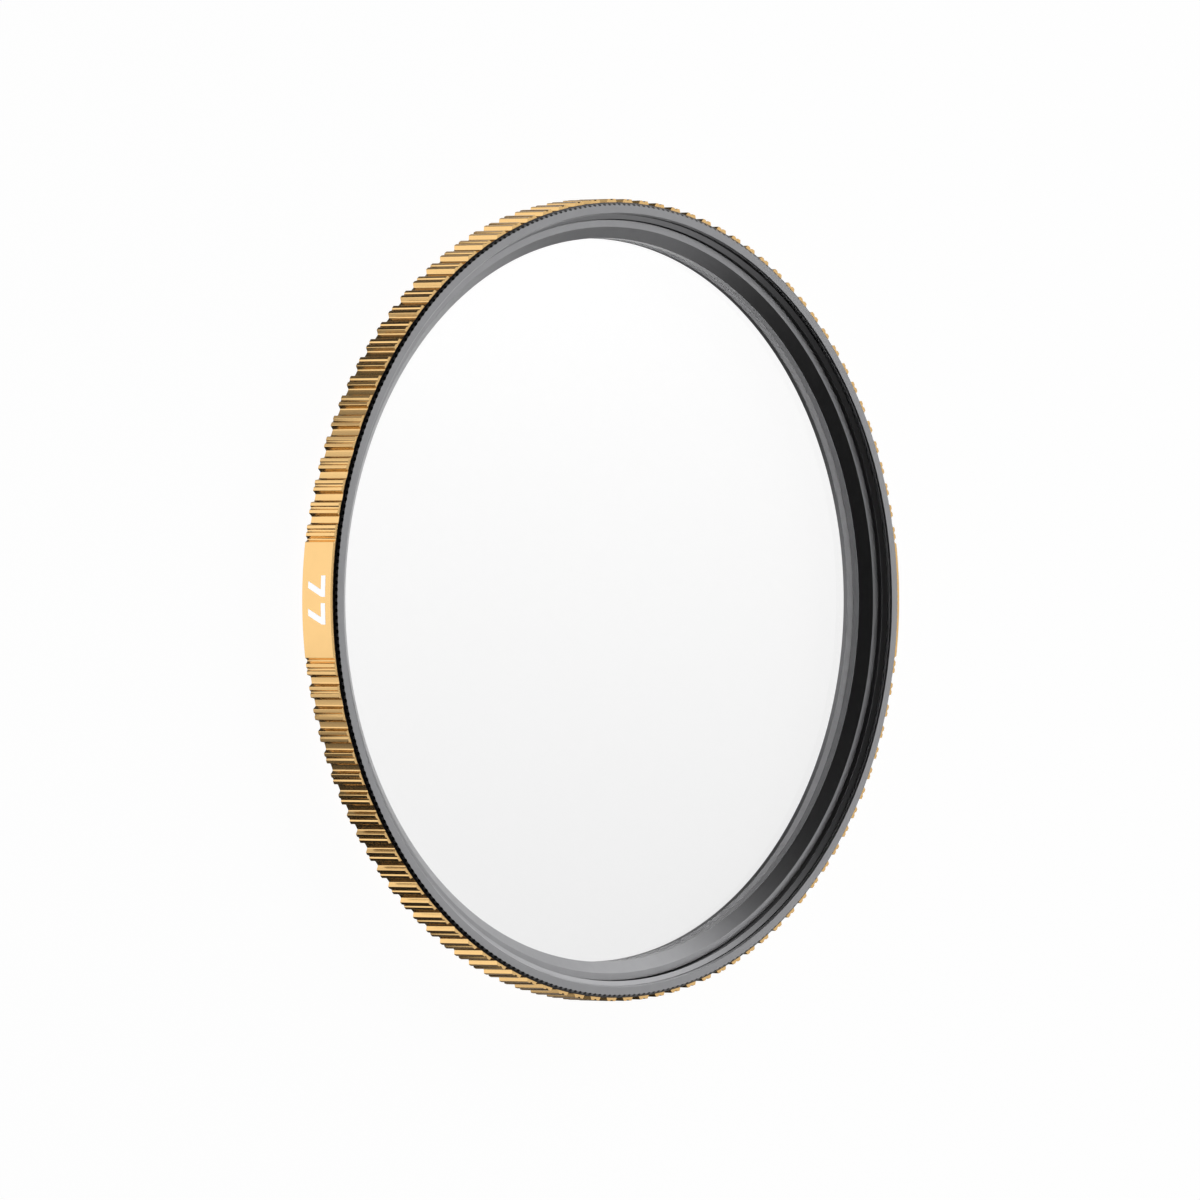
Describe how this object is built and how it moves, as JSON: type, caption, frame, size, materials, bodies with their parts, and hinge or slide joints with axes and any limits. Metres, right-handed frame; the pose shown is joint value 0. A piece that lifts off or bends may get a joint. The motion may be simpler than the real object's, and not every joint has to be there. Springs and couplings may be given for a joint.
{
  "type": "screw-in lens filter",
  "caption": "Round screw-in lens filter: knurled brass frame with a male lens thread, black front ring with a female thread, retaining ring and clear flat glass.",
  "frame": {"origin": "centre of the thread end that the filter lies on", "axes": "+Z along the optical axis, out of the front face; -Y towards the marked smooth patch"},
  "size_m": [0.0802, 0.0802, 0.0059],
  "materials": {
    "brass": "satin turned",
    "black_anodised": "matte black anodised",
    "clear_glass": "polished, coated"
  },
  "bodies": {
    "root": {"knurled_brass_frame": "brass", "black_front_ring": "black_anodised", "glass_retaining_ring": "black_anodised", "filter_glass": "clear_glass"}
  },
  "joints": []
}
